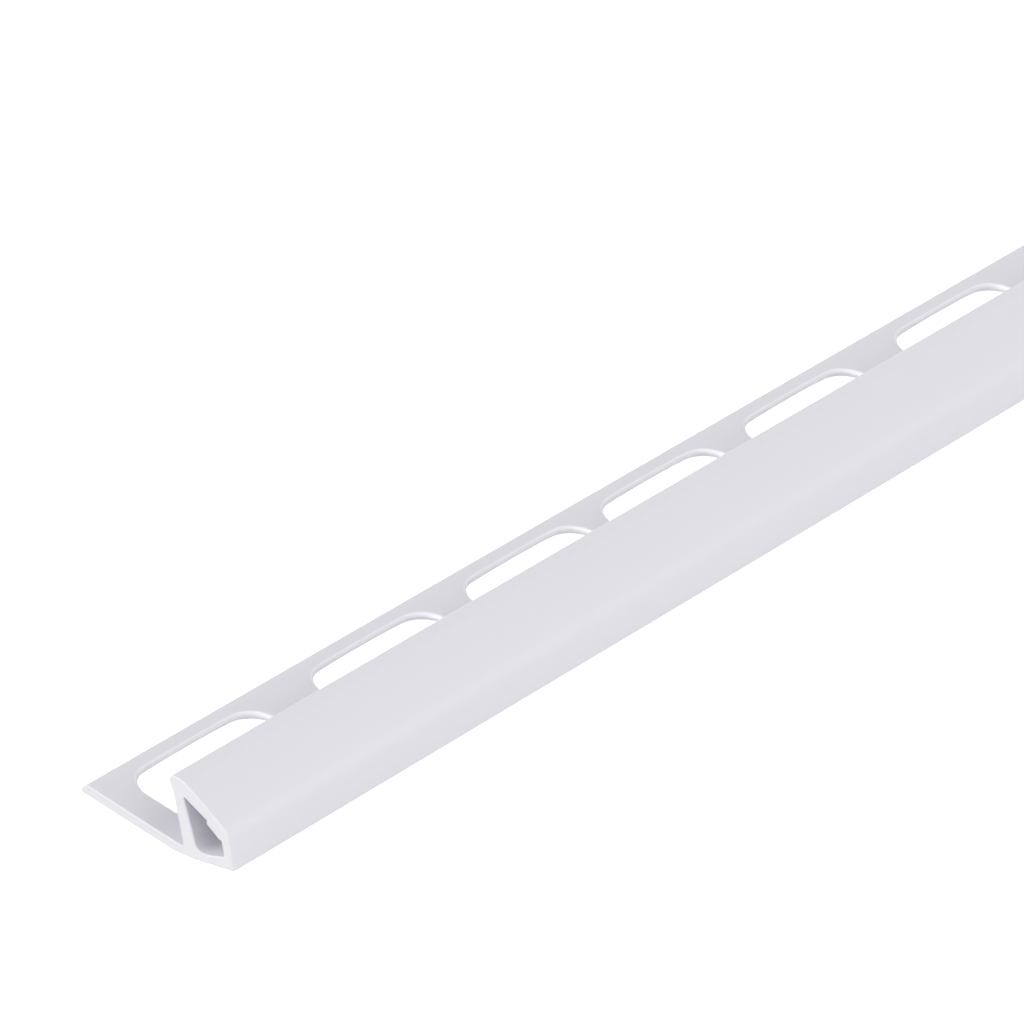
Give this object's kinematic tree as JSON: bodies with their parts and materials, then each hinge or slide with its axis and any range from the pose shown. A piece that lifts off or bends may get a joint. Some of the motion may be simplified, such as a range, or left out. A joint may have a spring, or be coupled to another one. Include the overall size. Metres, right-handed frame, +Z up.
{
  "type": "pvc bullnose trim",
  "caption": "Length of white tile trim: a hollow rounded nose with a lip that covers the tile's edge, and a flat slotted leg that is bedded in adhesive behind the tile.",
  "frame": {"origin": "on the floor under the middle of the trim's box, as it lies unheld", "axes": "+X along the trim's length, +Y from the rounded nose to the tip of the leg, +Z up from the floor that it lies on"},
  "size_m": [1.83, 0.023, 0.0098],
  "materials": {
    "white_pvc": "smooth satin-gloss, as extruded"
  },
  "bodies": {
    "root": {"trim": "white_pvc"}
  },
  "joints": []
}
